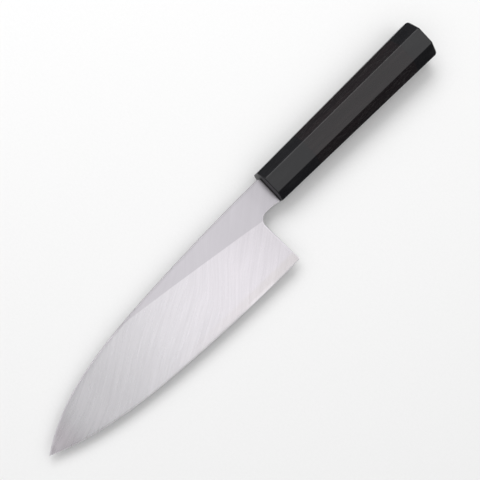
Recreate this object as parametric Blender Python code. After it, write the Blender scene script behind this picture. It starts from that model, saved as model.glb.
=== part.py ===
"""Gyuto chef's knife with an octagonal stick-tang handle.

Every piece is drawn in the knife's own frame: x = 0 at the front face of the ferrule, +X towards
the tip, +Y towards the cutting edge, and the blade's middle plane at z = 0.  An empty then lays
the knife on the lower flat of its handle, with the middle of the wooden body's flat at the world
origin.  All sizes are in metres.
"""

import math

import bmesh
import bpy
from mathutils import Vector
from mathutils.geometry import delaunay_2d_cdt

# Blade profile
BLADE_LENGTH = 0.1795
HEEL_X = 0.0153
HEEL_Y = 0.04225
TIP_Y = 0.02095
SPINE_Y = -0.0078
SPINE_DROP = (0.0030, 0.0083)
EDGE_BELLY = 0.0114
SPINE_POWER = 6.2
EDGE_POWER = 6.15

# Neck and choil
NECK_END_X = 0.0003
NECK_BOTTOM_Y = 0.0093
NECK_FLARE = 15.9
NECK_FLARE_X = 0.0090
NECK_CORNER = (0.0016, 0.0028)
CHOIL_X = 0.0168
CHOIL_ARC = (0.0049, 0.0052)

# Blade section
NECK_HALF_THICKNESS = 0.00175
FLAT_TAPER = 0.0085
POINT_TAPER = 0.0075
SHINOGI_END_X = 0.1138
SHINOGI_BOW = 0.0008
EDGE_HALF_THICKNESS = 0.00011
MICRO_BEVEL_WIDTH = 0.0005
SPINE_BREAK = (0.0009, 0.00035)
CHOIL_BREAK = (0.0005, 0.00025)
THINNEST_BREAK = 0.45

# Tang
TANG_END_X = -0.0835
TANG_OVERLAP = 0.004
TANG_HALF_HEIGHT = (0.0042, 0.0024)
TANG_HALF_THICKNESS = (0.0013, 0.0008)
TANG_TIP_CUT = 0.0015

# Handle
HANDLE_LENGTH = 0.1335
FERRULE_LENGTH = 0.0320
CAP_LENGTH = 0.017
FRONT_HALF_HEIGHT = 0.01085
BUTT_HALF_HEIGHT = 0.0131
FRONT_HALF_THICKNESS = 0.0084
BUTT_HALF_THICKNESS = 0.0105
FRONT_FLAT_HALF = 0.0053
BUTT_FLAT_HALF = 0.0059
FRONT_CHAMFER = 0.0006
BUTT_CHAMFER = 0.0006

# Hidden joinery
GAP = 0.0003
SLOT_HALF_HEIGHT = 0.0060
SLOT_HALF_THICKNESS = 0.0025
SEAL_DEPTH = 0.0023
FERRULE_WALL = 0.007
TANG_DOWEL_RADIUS = 0.0066
TANG_DOWEL_END_X = -0.0915
DOWEL_SLOT_HALF_HEIGHT = 0.0051
DOWEL_SLOT_HALF_THICKNESS = 0.0024
DOWEL_SLOT_END_X = -0.0867
CAP_DOWEL_RADIUS = 0.0040
CAP_DOWEL_DEPTH = 0.0115
DOWEL_CHAMFER = 0.0006
ROUND_SIDES = 40
SHARP_EDGE_DEG = 24.0

# Counts of steps along the curves
PROFILE_STEPS = 30
RIDGE_STRIDE = 2
TIP_CROWDING = 1.25
CHOIL_STEPS = 7
ARC_STEPS = 8
SHINOGI_ARC_STEP = 6
CORNER_STEPS = 4
NECK_STEPS = 3
CORNER_SINE = 0.6

SEAM_FRONT_X = -FERRULE_LENGTH
SEAM_REAR_X = CAP_LENGTH - HANDLE_LENGTH
FACET_SLOPE = (BUTT_HALF_THICKNESS - FRONT_HALF_THICKNESS) / HANDLE_LENGTH


def clear_scene():
    for old in list(bpy.data.objects):
        bpy.data.objects.remove(old, do_unlink=True)


def finish_material(name, colour, roughness, metallic=0.0):
    material = bpy.data.materials.new(name)
    material.use_nodes = True
    shader = material.node_tree.nodes["Principled BSDF"]
    shader.inputs["Base Color"].default_value = (*colour, 1.0)
    shader.inputs["Roughness"].default_value = roughness
    shader.inputs["Metallic"].default_value = metallic
    return material


def mesh_object(name, bm, material, parent):
    bmesh.ops.recalc_face_normals(bm, faces=bm.faces)
    mesh = bpy.data.meshes.new(name)
    bm.to_mesh(mesh)
    bm.free()
    mesh.materials.append(material)
    mesh.shade_smooth()
    mesh.set_sharp_from_angle(angle=math.radians(SHARP_EDGE_DEG))
    piece = bpy.data.objects.new(name, mesh)
    bpy.context.scene.collection.objects.link(piece)
    piece.parent = parent
    return piece


def cutter(name, bm, material, parent):
    tool = mesh_object(name, bm, material, parent)
    tool.hide_render = True
    tool.display_type = "WIRE"
    return tool


def boolean(piece, tool, operation):
    modifier = piece.modifiers.new(tool.name, "BOOLEAN")
    modifier.operation = operation
    modifier.solver = "EXACT"
    modifier.object = tool


def loft(rings):
    """A closed solid whose skin joins each ring of points to the next, with flat ends."""
    bm = bmesh.new()
    rows = [[bm.verts.new(point) for point in ring] for ring in rings]
    for low, high in zip(rows[:-1], rows[1:]):
        for i in range(len(low)):
            j = (i + 1) % len(low)
            bm.faces.new((low[i], low[j], high[j], high[i]))
    bm.faces.new(rows[0][::-1])
    bm.faces.new(rows[-1])
    return bm


def rectangle_ring(x, half_height, half_thickness):
    corners = ((-1, -1), (1, -1), (1, 1), (-1, 1))
    return [(x, a * half_height, b * half_thickness) for a, b in corners]


def circle_ring(x, radius):
    turns = [2.0 * math.pi * i / ROUND_SIDES for i in range(ROUND_SIDES)]
    return [(x, radius * math.cos(turn), radius * math.sin(turn)) for turn in turns]


def rod(front_x, rear_x, radius, chamfer=0.0):
    if chamfer == 0.0:
        return loft([circle_ring(front_x, radius), circle_ring(rear_x, radius)])
    return loft([
        circle_ring(front_x, radius - chamfer),
        circle_ring(front_x - chamfer, radius),
        circle_ring(rear_x + chamfer, radius),
        circle_ring(rear_x, radius - chamfer),
    ])


def octagon_ring(x, inset=0.0):
    """The handle's eight-sided section at x: it grows evenly from the ferrule to the butt."""
    share = -x / HANDLE_LENGTH
    half_height = FRONT_HALF_HEIGHT + share * (BUTT_HALF_HEIGHT - FRONT_HALF_HEIGHT)
    half_thickness = FRONT_HALF_THICKNESS - x * FACET_SLOPE
    flat_half = FRONT_FLAT_HALF + share * (BUTT_FLAT_HALF - FRONT_FLAT_HALF)
    side_half = half_thickness * flat_half / half_height
    high = 1.0 - inset / half_height
    thick = 1.0 - inset / half_thickness
    corners = (
        (flat_half, half_thickness),
        (half_height, side_half),
        (half_height, -side_half),
        (flat_half, -half_thickness),
        (-flat_half, -half_thickness),
        (-half_height, -side_half),
        (-half_height, side_half),
        (-flat_half, half_thickness),
    )
    return [(x, y * high, z * thick) for y, z in corners]


def spine_y(x):
    """The spine: level over the heel, then a slow fall that quickens towards the tip."""
    t = min(max((x - HEEL_X) / BLADE_LENGTH, 0.0), 1.0)
    last = TIP_Y - SPINE_Y - sum(SPINE_DROP)
    return SPINE_Y + SPINE_DROP[0] * t + SPINE_DROP[1] * t ** 2 + last * t ** SPINE_POWER


def edge_y(x):
    """The cutting edge: nearly straight at the heel, with its belly rising to the tip."""
    t = min(max((x - HEEL_X) / BLADE_LENGTH, 0.0), 1.0)
    last = HEEL_Y - EDGE_BELLY - TIP_Y
    return HEEL_Y - EDGE_BELLY * t ** 2 - last * t ** EDGE_POWER


def station_x(step):
    """The x of a profile station, counted from the tip, where the stations crowd together."""
    return HEEL_X + BLADE_LENGTH * (1.0 - (step / PROFILE_STEPS) ** TIP_CROWDING)


def choil_arc(step):
    """A point of the elliptical arc between the neck and the choil."""
    angle = 0.5 * math.pi * step / ARC_STEPS
    x = CHOIL_X + CHOIL_ARC[0] * (math.sin(angle) - 1.0)
    y = NECK_BOTTOM_Y + CHOIL_ARC[1] * (1.0 - math.cos(angle))
    return x, y


def shinogi_start():
    """The inner end of the ridge, one edge break in from the choil arc."""
    x, y = choil_arc(SHINOGI_ARC_STEP)
    angle = 0.5 * math.pi * SHINOGI_ARC_STEP / ARC_STEPS
    return x + CHOIL_BREAK[0] * math.sin(angle), y - CHOIL_BREAK[0] * math.cos(angle)


def shinogi_y(x):
    """The ridge between the flat and the wide bevel: a slack line from the choil to the spine."""
    x0, y0 = shinogi_start()
    y1 = spine_y(SHINOGI_END_X) + SPINE_BREAK[0]
    t = (x - x0) / (SHINOGI_END_X - x0)
    return y0 + (y1 - y0) * t - 4.0 * SHINOGI_BOW * t * (1.0 - t)


def ridge_line():
    """The ridge's points: its two ends, and some of the profile's stations between them."""
    start = shinogi_start()
    stops = [station_x(step) for step in range(PROFILE_STEPS - 1, 0, -RIDGE_STRIDE)]
    middle = [(x, shinogi_y(x)) for x in stops if start[0] < x < SHINOGI_END_X]
    end = (SHINOGI_END_X, shinogi_y(SHINOGI_END_X))
    return [Vector(point) for point in (start, *middle, end)]


def flat_half_thickness(x):
    """Half the thickness of the flat, a plane up to the end of the ridge, then a finer taper."""
    near = min(x, SHINOGI_END_X)
    return NECK_HALF_THICKNESS - FLAT_TAPER * near - POINT_TAPER * (x - near)


def half_thickness(x, y):
    """Half the blade's thickness: the flat above the ridge, a straight bevel below it."""
    full = flat_half_thickness(x)
    top = shinogi_y(x) if x < SHINOGI_END_X else spine_y(x) + SPINE_BREAK[0]
    if y <= top or x < HEEL_X:
        return full
    foot = edge_y(x) - MICRO_BEVEL_WIDTH
    share = min((y - top) / max(foot - top, MICRO_BEVEL_WIDTH), 1.0)
    return full + (EDGE_HALF_THICKNESS - full) * share


def blade_outline():
    """The outline from the neck's upper corner, round by the tip and the heel.

    Each entry is a point with the edge break that runs on from it: its width and its depth.
    """
    sharp = (MICRO_BEVEL_WIDTH, None)
    points = []
    corner_x, corner_y = NECK_CORNER
    for i in range(CORNER_STEPS):
        turn = 0.5 * math.pi * i / CORNER_STEPS
        x = NECK_END_X + corner_x * (1.0 - math.cos(turn))
        y = SPINE_Y + corner_y * (1.0 - math.sin(turn))
        points.append(((x, y), CHOIL_BREAK))
    points.append(((NECK_END_X + corner_x, SPINE_Y), SPINE_BREAK))
    for step in range(PROFILE_STEPS, 0, -1):
        x = station_x(step)
        points.append(((x, spine_y(x)), SPINE_BREAK))
    for step in range(PROFILE_STEPS):
        x = station_x(step)
        points.append(((x, edge_y(x)), sharp))
    for i in range(CHOIL_STEPS):
        share = i / CHOIL_STEPS
        foot_y = NECK_BOTTOM_Y + CHOIL_ARC[1]
        x = HEEL_X + share * (CHOIL_X - HEEL_X)
        y = HEEL_Y + share * (foot_y - HEEL_Y)
        points.append(((x, y), CHOIL_BREAK))
    for i in range(ARC_STEPS, -1, -1):
        points.append((choil_arc(i), CHOIL_BREAK))
    for i in range(NECK_STEPS + 1):
        x = NECK_FLARE_X + (NECK_END_X - NECK_FLARE_X) * i / NECK_STEPS
        y = NECK_BOTTOM_Y + NECK_FLARE * (NECK_FLARE_X - x) ** 2
        points.append(((x, y), CHOIL_BREAK))
    return points


def inset_outline(points):
    """The outline moved inwards by each side's break width, with mitred corners."""
    count = len(points)
    rim = [Vector(point) for point, _ in points]
    sides = []
    for i in range(count):
        along = (rim[(i + 1) % count] - rim[i]).normalized()
        sides.append((along, Vector((-along.y, along.x)), points[i][1][0]))
    inner = []
    for i in range(count):
        along_a, inward_a, width_a = sides[i - 1]
        along_b, inward_b, width_b = sides[i]
        cross = along_a.cross(along_b)
        if abs(cross) < CORNER_SINE:
            middle = (inward_a + inward_b).normalized()
            inner.append(rim[i] + middle * 0.5 * (width_a + width_b) / middle.dot(inward_a))
        else:
            reach = (inward_b * width_b - inward_a * width_a).cross(along_b) / cross
            inner.append(rim[i] + inward_a * width_a + along_a * reach)
    return inner


def blade_surface(points, inner, ridge):
    """The plan of the blade as triangles between the rim, the inset line and the ridge."""
    count = len(points)
    plan = [Vector(point) for point, _ in points] + inner + ridge[1:-1]
    lines = []
    for start in (0, count):
        lines += [(start + i, start + (i + 1) % count) for i in range(count)]
    first = count + min(range(count), key=lambda i: (inner[i] - ridge[0]).length)
    last = count + min(range(count), key=lambda i: (inner[i] - ridge[-1]).length)
    chain = [first] + list(range(2 * count, len(plan))) + [last]
    lines += list(zip(chain[:-1], chain[1:]))
    _, _, faces, sources, _, _ = delaunay_2d_cdt(plan, lines, [], 1, 1e-9)
    return plan, [[sources[i][0] for i in face] for face in faces]


def tang_section(x, spare=0.0):
    """The tang's half height and half thickness at x, which taper to its end, with room added."""
    share = x / TANG_END_X
    half_height = TANG_HALF_HEIGHT[0] + share * (TANG_HALF_HEIGHT[1] - TANG_HALF_HEIGHT[0])
    half_thick = TANG_HALF_THICKNESS[0] + share * (TANG_HALF_THICKNESS[1] - TANG_HALF_THICKNESS[0])
    return half_height + spare, half_thick + spare


def tang_bar(parent, material):
    """The tang, from inside the neck to its end, whose corners are cut off."""
    nip_x = TANG_END_X + TANG_TIP_CUT
    end_height, end_thick = tang_section(TANG_END_X)
    return cutter("tang_bar", loft([
        rectangle_ring(TANG_OVERLAP, *tang_section(TANG_OVERLAP)),
        rectangle_ring(nip_x, *tang_section(nip_x)),
        rectangle_ring(TANG_END_X, end_height - TANG_TIP_CUT, end_thick),
    ]), material, parent)


def make_blade(parent, steel):
    """The forged blade: flat, wide bevel, small cutting bevel, eased spine and choil, and tang."""
    points = blade_outline()
    inner = inset_outline(points)
    plan, faces = blade_surface(points, inner, ridge_line())
    count = len(points)
    heights = []
    for i, point in enumerate(plan):
        full = half_thickness(point.x, point.y)
        if i >= count:
            heights.append(full)
            continue
        depth = points[i][1][1]
        before = points[i - 1][1][1]
        if depth is None or before is None:
            heights.append(0.0)
        else:
            heights.append(max(full - min(depth, before), THINNEST_BREAK * full))
    bm = bmesh.new()
    left = [bm.verts.new((p.x, p.y, h)) for p, h in zip(plan, heights)]
    right = []
    for vertex, height in zip(left, heights):
        mirrored = vertex if height == 0.0 else bm.verts.new((vertex.co.x, vertex.co.y, -height))
        right.append(mirrored)
    for face in faces:
        bm.faces.new([left[i] for i in face])
        bm.faces.new([right[i] for i in reversed(face)])
    for i in range(count):
        j = (i + 1) % count
        ring = [left[i], left[j], right[j], right[i]]
        side = [v for k, v in enumerate(ring) if v not in ring[:k]]
        if len(side) > 2:
            bm.faces.new(side)
    blade = mesh_object("blade", bm, steel, parent)
    boolean(blade, tang_bar(parent, steel), "UNION")
    return blade


def make_ferrule(parent, horn):
    """The horn ferrule: an octagonal block with the tang slot in front and the dowel hole behind."""
    rear_x = SEAM_FRONT_X + 0.5 * GAP
    ferrule = mesh_object("ferrule", loft([
        octagon_ring(0.0, FRONT_CHAMFER),
        octagon_ring(-FRONT_CHAMFER),
        octagon_ring(rear_x),
    ]), horn, parent)
    slot = loft([
        rectangle_ring(GAP, SLOT_HALF_HEIGHT, SLOT_HALF_THICKNESS),
        rectangle_ring(-FERRULE_WALL - GAP, SLOT_HALF_HEIGHT, SLOT_HALF_THICKNESS),
    ])
    hole = rod(-FERRULE_WALL, rear_x - GAP, TANG_DOWEL_RADIUS + GAP)
    boolean(ferrule, cutter("ferrule_slot", slot, horn, parent), "DIFFERENCE")
    boolean(ferrule, cutter("ferrule_hole", hole, horn, parent), "DIFFERENCE")


def make_handle_body(parent, ebony):
    """The ebony body, drilled from the front for the tang dowel and from behind for the cap's."""
    front_x = SEAM_FRONT_X - 0.5 * GAP
    rear_x = SEAM_REAR_X + 0.5 * GAP
    body = mesh_object("handle_body", loft([octagon_ring(front_x), octagon_ring(rear_x)]), ebony, parent)
    front_hole = rod(front_x + GAP, TANG_DOWEL_END_X - GAP, TANG_DOWEL_RADIUS + GAP)
    rear_hole = rod(SEAM_REAR_X + CAP_DOWEL_DEPTH + GAP, rear_x - GAP, CAP_DOWEL_RADIUS + GAP)
    boolean(body, cutter("body_front_hole", front_hole, ebony, parent), "DIFFERENCE")
    boolean(body, cutter("body_rear_hole", rear_hole, ebony, parent), "DIFFERENCE")


def make_end_cap(parent, horn):
    """The horn end cap, with a blind hole for its dowel and its butt edges eased."""
    front_x = SEAM_REAR_X - 0.5 * GAP
    cap = mesh_object("end_cap", loft([
        octagon_ring(front_x),
        octagon_ring(BUTT_CHAMFER - HANDLE_LENGTH),
        octagon_ring(-HANDLE_LENGTH, BUTT_CHAMFER),
    ]), horn, parent)
    hole = rod(front_x + GAP, SEAM_REAR_X - CAP_DOWEL_DEPTH - GAP, CAP_DOWEL_RADIUS + GAP)
    boolean(cap, cutter("cap_hole", hole, horn, parent), "DIFFERENCE")


def make_tang_dowel(parent, beech):
    """The slotted dowel that joins ferrule and body and takes the tang."""
    front_x = -FERRULE_WALL - GAP
    dowel = mesh_object("tang_dowel", rod(front_x, TANG_DOWEL_END_X, TANG_DOWEL_RADIUS, DOWEL_CHAMFER),
                        beech, parent)
    slot = loft([
        rectangle_ring(front_x + GAP, DOWEL_SLOT_HALF_HEIGHT, DOWEL_SLOT_HALF_THICKNESS),
        rectangle_ring(DOWEL_SLOT_END_X, DOWEL_SLOT_HALF_HEIGHT, DOWEL_SLOT_HALF_THICKNESS),
    ])
    boolean(dowel, cutter("dowel_slot", slot, beech, parent), "DIFFERENCE")


def make_cap_dowel(parent, beech):
    """The short plain dowel that joins the body and the end cap."""
    front_x = SEAM_REAR_X + CAP_DOWEL_DEPTH
    rear_x = SEAM_REAR_X - CAP_DOWEL_DEPTH
    mesh_object("cap_dowel", rod(front_x, rear_x, CAP_DOWEL_RADIUS, DOWEL_CHAMFER), beech, parent)


def tang_pocket(name, front_x, rear_x, parent, material):
    """A cutter that follows the tang's taper, one gap larger all round."""
    rings = [rectangle_ring(x, *tang_section(x, GAP)) for x in (front_x, rear_x)]
    return cutter(name, loft(rings), material, parent)


def make_tang_bedding(parent, resin):
    """The set adhesive that beds the tang in the dowel's slot: a long cup round the tang."""
    front_x = -SEAL_DEPTH - GAP
    rear_x = DOWEL_SLOT_END_X + GAP
    bedding = mesh_object("tang_bedding", loft([
        rectangle_ring(front_x, DOWEL_SLOT_HALF_HEIGHT - GAP, DOWEL_SLOT_HALF_THICKNESS - GAP),
        rectangle_ring(rear_x, DOWEL_SLOT_HALF_HEIGHT - GAP, DOWEL_SLOT_HALF_THICKNESS - GAP),
    ]), resin, parent)
    pocket = tang_pocket("bedding_pocket", front_x + GAP, TANG_END_X - GAP, parent, resin)
    boolean(bedding, pocket, "DIFFERENCE")


def make_mouth_seal(parent, sealant):
    """The bead of dark sealant that closes the slot round the tang at the ferrule's face."""
    seal = mesh_object("mouth_seal", loft([
        rectangle_ring(0.0, SLOT_HALF_HEIGHT - GAP, SLOT_HALF_THICKNESS - GAP),
        rectangle_ring(-SEAL_DEPTH, SLOT_HALF_HEIGHT - GAP, SLOT_HALF_THICKNESS - GAP),
    ]), sealant, parent)
    pocket = tang_pocket("seal_pocket", GAP, -SEAL_DEPTH - GAP, parent, sealant)
    boolean(seal, pocket, "DIFFERENCE")


def lay_on_flat():
    """An empty that sets the handle's lower flat level, its middle on the world origin."""
    middle_x = 0.5 * (SEAM_FRONT_X + SEAM_REAR_X)
    tilt = math.atan(FACET_SLOPE)
    drop = FRONT_HALF_THICKNESS - middle_x * FACET_SLOPE
    frame = bpy.data.objects.new("knife_frame", None)
    bpy.context.scene.collection.objects.link(frame)
    frame.rotation_euler = (0.0, tilt, 0.0)
    turned_x = middle_x * math.cos(tilt) - drop * math.sin(tilt)
    turned_z = -middle_x * math.sin(tilt) - drop * math.cos(tilt)
    frame.location = (-turned_x, 0.0, -turned_z)
    return frame


def main():
    clear_scene()
    frame = lay_on_flat()
    steel = finish_material("satin_steel", (0.62, 0.62, 0.64), 0.3, 1.0)
    horn = finish_material("black_horn", (0.022, 0.023, 0.025), 0.32)
    ebony = finish_material("ebony", (0.030, 0.024, 0.022), 0.42)
    beech = finish_material("dowel_wood", (0.55, 0.38, 0.22), 0.7)
    resin = finish_material("set_resin", (0.62, 0.50, 0.30), 0.4)
    sealant = finish_material("dark_sealant", (0.015, 0.014, 0.013), 0.5)
    make_blade(frame, steel)
    make_ferrule(frame, horn)
    make_handle_body(frame, ebony)
    make_end_cap(frame, horn)
    make_tang_dowel(frame, beech)
    make_cap_dowel(frame, beech)
    make_tang_bedding(frame, resin)
    make_mouth_seal(frame, sealant)
    bpy.context.view_layer.update()


main()
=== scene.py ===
"""Looks of the gyuto knife: the ground blade, the octagonal handle, their finishes and the studio.

Shapes are worked out in the knife's own frame, in metres: x = 0 at the front face of the ferrule,
+X towards the tip, +Y towards the cutting edge, z = 0 in the blade's middle plane.  KNIFE_TO_WORLD
then lays them on the lower flat of the handle, where the frame has them.
"""

import math

import bmesh
import bpy
import numpy as np
from mathutils import Matrix, Vector


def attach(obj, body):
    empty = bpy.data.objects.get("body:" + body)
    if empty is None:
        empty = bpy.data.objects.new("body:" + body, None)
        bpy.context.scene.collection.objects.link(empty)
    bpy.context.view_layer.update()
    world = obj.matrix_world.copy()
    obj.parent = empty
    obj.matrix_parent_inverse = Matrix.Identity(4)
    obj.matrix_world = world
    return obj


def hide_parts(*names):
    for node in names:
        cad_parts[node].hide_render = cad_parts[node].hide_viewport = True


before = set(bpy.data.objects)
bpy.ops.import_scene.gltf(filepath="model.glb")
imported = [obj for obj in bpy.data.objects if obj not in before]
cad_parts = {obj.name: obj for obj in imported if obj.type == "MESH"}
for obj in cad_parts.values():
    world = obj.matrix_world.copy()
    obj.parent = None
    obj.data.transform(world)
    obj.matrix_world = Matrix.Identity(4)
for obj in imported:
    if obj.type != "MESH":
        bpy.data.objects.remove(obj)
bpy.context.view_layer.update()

# Blade profile
BLADE_LENGTH = 0.1795
HEEL_X = 0.0153
HEEL_Y = 0.04225
TIP_X = HEEL_X + BLADE_LENGTH
TIP_Y = 0.02095
SPINE_Y = -0.0078
SPINE_DROP = (0.0030, 0.0083)
SPINE_POWER = 6.2
EDGE_BELLY = 0.0114
EDGE_POWER = 6.15

# Neck and choil: a pair holds a reach along x and a reach along y
NECK_END_X = 0.0001
NECK_END_EASE = 0.00040
NECK_BOTTOM_Y = 0.0093
NECK_FLARE = 15.9
NECK_FLARE_X = 0.0090
NECK_CORNER = (0.0016, 0.0028)
CHOIL_X = 0.0168
CHOIL_ARC = (0.0049, 0.0052)
RIDGE_TURN = math.radians(60.0)

# Blade section: the flat, the ridge, the wide bevel, the cutting bevel and the eased rims
NECK_HALF = 0.00175
FLAT_TAPER = 0.0085
POINT_TAPER = 0.0075
RIDGE_END_X = 0.1138
RIDGE_BOW = 0.0005
BEVEL_SWELL = 0.00005
EDGE_HALF = 0.00011
EDGE_LAND_HALF = 0.00001
MICRO_BEVEL = 0.0005
RIM_EASE = 0.0005
RIM_DEPTH = 0.00032
RIM_LEAST = 0.45
SPINE_BAND = 0.00045
POINT_RUN = 0.0050
CHOIL_BEND_RUN = 0.009
HEEL_SHARPENING = 0.06

# Tang: a pair holds the size at the neck and the size at the end
TANG_END_X = -0.0835
TANG_NIP = 0.0015
TANG_HALF_HEIGHT = (0.0042, 0.0024)
TANG_HALF_THICKNESS = (0.0013, 0.0008)
TANG_EASE = 0.0003

# Grinding marks: their lean at the heel in degrees, the places where it lessens (start, run
# and drop), and the side mark that sets the right face's marks apart from the left's
MARK_LEAN = 37.0
MARK_LEAN_DROPS = ((0.045, 0.030, 9.0), (0.110, 0.060, 9.0))
SIDE_MARK = 0.05

# Handle: a pair holds the size at the ferrule's face and the size at the butt
HANDLE_LENGTH = 0.1335
FERRULE_LENGTH = 0.0320
CAP_LENGTH = 0.017
HALF_HEIGHT = (0.01085, 0.0131)
HALF_THICKNESS = (0.0084, 0.0105)
FLAT_HALF = (0.0053, 0.0059)
ARRIS_RADIUS = 0.00055
FRONT_EASE = 0.0006
BUTT_EASE = 0.0011
BUTT_CORNER = 0.0016
BUTT_CORNER_RUN = 0.0045
EASE_TO_FLANK = 0.0004
SEAM = 0.00001

# Bores and seal: the slot's half height and half thickness, and the seal's corner radius at the
# slot and at the tang, are pairs
ROOM = 0.0003
SLOT_HALF = (0.0060, 0.0025)
SLOT_CORNER = 0.0012
MOUTH_EASE = 0.0002
SEAL_DEPTH = 0.0023
SEAL_SUNK = 0.0001
SEAL_PROUD = 0.00022
SEAL_CORNER = (0.0009, 0.0003)
TANG_CLEARANCE = 0.0001
FERRULE_WALL = 0.007
TANG_DOWEL_RADIUS = 0.0066
TANG_DOWEL_END_X = -0.0915
CAP_DOWEL_RADIUS = 0.0040
CAP_DOWEL_DEPTH = 0.0115

# Counts and spacing of steps
BLADE_RIBS = 230
RIB_CROWDING = 1.2
CORNER_RIBS = 10
NECK_RIBS = 16
CHOIL_RIBS = 12
TANG_RIBS = 12
RIM_STEPS = 5
ARC_STEPS = 5
EASE_STEPS = 6
SEAL_STEPS = 6
LEAN_STEPS = 400
HALVINGS = 50
BUTT_SHARES = (0.6, 0.25, 0.0)
HANDLE_PITCH = 0.004
MERGE = 1e-7
SHARP_TURN = math.radians(40.0)

SEAM_FRONT_X = -FERRULE_LENGTH
SEAM_REAR_X = CAP_LENGTH - HANDLE_LENGTH
QUARTER_TURN = 0.5 * math.pi
MIRROR = np.array((1.0, 1.0, -1.0))


def knife_to_world():
    """The turn and shift that set the handle's lower flat level, its body's middle on the origin."""
    slope = (HALF_THICKNESS[1] - HALF_THICKNESS[0]) / HANDLE_LENGTH
    middle_x = 0.5 * (SEAM_FRONT_X + SEAM_REAR_X)
    middle_z = middle_x * slope - HALF_THICKNESS[0]
    turn = Matrix.Rotation(math.atan(slope), 4, "Y")
    return Matrix.Translation(-(turn @ Vector((middle_x, 0.0, middle_z)))) @ turn


KNIFE_TO_WORLD = knife_to_world()


def smooth(t):
    """A ramp from 0 to 1 that leaves and arrives level."""
    t = np.clip(t, 0.0, 1.0)
    return t * t * (3.0 - 2.0 * t)


def slope_of(line, x):
    """The slope of a line y(x), from its rise across a short step."""
    step = 1e-5
    return (line(x + step) - line(x - step)) / (2.0 * step)


# Blade lines

def spine_line(x):
    """The spine: level over the neck, then a fall that quickens towards the tip.

    t is the share of the blade's length, and the fall has terms in t, t squared and a high power.
    """
    t = np.maximum((x - HEEL_X) / BLADE_LENGTH, 0.0)
    last = TIP_Y - SPINE_Y - sum(SPINE_DROP)
    return SPINE_Y + SPINE_DROP[0] * t + SPINE_DROP[1] * t ** 2 + last * t ** SPINE_POWER


def edge_line(x):
    """The cutting edge: nearly straight at the heel, with its belly rising to the tip.

    The rise has terms in t squared and in a high power of t.
    """
    t = np.maximum((x - HEEL_X) / BLADE_LENGTH, 0.0)
    last = HEEL_Y - EDGE_BELLY - TIP_Y
    return HEEL_Y - EDGE_BELLY * t ** 2 - last * t ** EDGE_POWER


def spine_inner(x):
    """The line one rim's width in from the spine, square to it."""
    return spine_line(x) + RIM_EASE * np.hypot(1.0, slope_of(spine_line, x))


def edge_inner(x):
    """The line one cutting bevel's width in from the edge, square to it."""
    return edge_line(x) - MICRO_BEVEL * np.hypot(1.0, slope_of(edge_line, x))


def inner_tip_x():
    """Where the two inner lines meet behind the tip, found by halving the range."""
    low, high = TIP_X - POINT_RUN, TIP_X
    for _ in range(HALVINGS):
        middle = 0.5 * (low + high)
        if edge_inner(middle) > spine_inner(middle):
            low = middle
        else:
            high = middle
    return low


INNER_TIP_X = inner_tip_x()


def choil_lines(t):
    """The choil from the ridge's end, t = 0, to the heel, t = 1: its outline and the line inside it.

    y runs evenly from the ridge's end to the heel.  Above the arc's foot x follows the elliptical
    arc, below it the straight, slightly hooked choil.  The inner line lies one rim in along the
    normal, and slides up to clear the cutting bevel as it nears the heel.
    """
    foot_y = NECK_BOTTOM_Y + CHOIL_ARC[1]
    start_y = NECK_BOTTOM_Y + CHOIL_ARC[1] * (1.0 - math.cos(RIDGE_TURN))
    y = start_y + (HEEL_Y - start_y) * t
    cosine = np.clip(1.0 - (y - NECK_BOTTOM_Y) / CHOIL_ARC[1], 0.0, 1.0)
    sine = np.sqrt(1.0 - cosine ** 2)
    along = np.clip((y - foot_y) / (HEEL_Y - foot_y), 0.0, 1.0)
    x = CHOIL_X + CHOIL_ARC[0] * (sine - 1.0) + (HEEL_X - CHOIL_X) * along
    outer = np.stack([x, y], -1)
    inner = np.stack([x + RIM_EASE * sine, y - RIM_EASE * cosine - MICRO_BEVEL * along], -1)
    return outer, inner


RIDGE_START = choil_lines(np.zeros(1))[1][0]


def ridge_line(x):
    """The ridge: a slack line from the choil to the spine, then a narrow band along the spine.

    The slack line is a straight one less a parabola.
    """
    x0, y0 = RIDGE_START
    y1 = spine_inner(RIDGE_END_X) + SPINE_BAND
    t = (x - x0) / (RIDGE_END_X - x0)
    slack = y0 + (y1 - y0) * t - 4.0 * RIDGE_BOW * t * (1.0 - t)
    band = SPINE_BAND * np.clip((INNER_TIP_X - x) / POINT_RUN, 0.0, 1.0)
    return np.maximum(slack, spine_inner(x) + band)


def flat_half(x):
    """Half the thickness of the flat: an even taper, finer past the ridge's end, thin at the tip."""
    near = np.minimum(x, RIDGE_END_X)
    full = NECK_HALF - FLAT_TAPER * near - POINT_TAPER * (x - near)
    return EDGE_HALF + (full - EDGE_HALF) * smooth((INNER_TIP_X - x) / POINT_RUN)


def rim_half(inner_half):
    """Half the thickness left on the outline of a rounded rim."""
    return inner_half - np.minimum(RIM_DEPTH, (1.0 - RIM_LEAST) * inner_half)


# Blade surface

def rim(outer, inner, outer_half, inner_half, roundness):
    """A rim's points from the left face round the outline to the right face, ends left out.

    A turn goes from 0 at the inner line to a quarter at the outline.  Where roundness is 1 the
    distance in follows 1 - sine and the height the cosine; where it is 0 both follow a line.
    """
    turn = np.linspace(0.0, QUARTER_TURN, RIM_STEPS + 1)[1:]
    line = 1.0 - turn / QUARTER_TURN
    mix = np.broadcast_to(roundness, outer_half.shape)[:, None]
    reach = mix * (1.0 - np.sin(turn)) + (1.0 - mix) * line
    rise = mix * np.cos(turn) + (1.0 - mix) * line
    plan = outer[:, None] + (inner - outer)[:, None] * reach[..., None]
    height = outer_half[:, None] + (inner_half - outer_half)[:, None] * rise
    left = np.concatenate([plan, height[..., None]], -1)
    return np.concatenate([left, left[:, ::-1] * MIRROR], 1)


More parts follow.
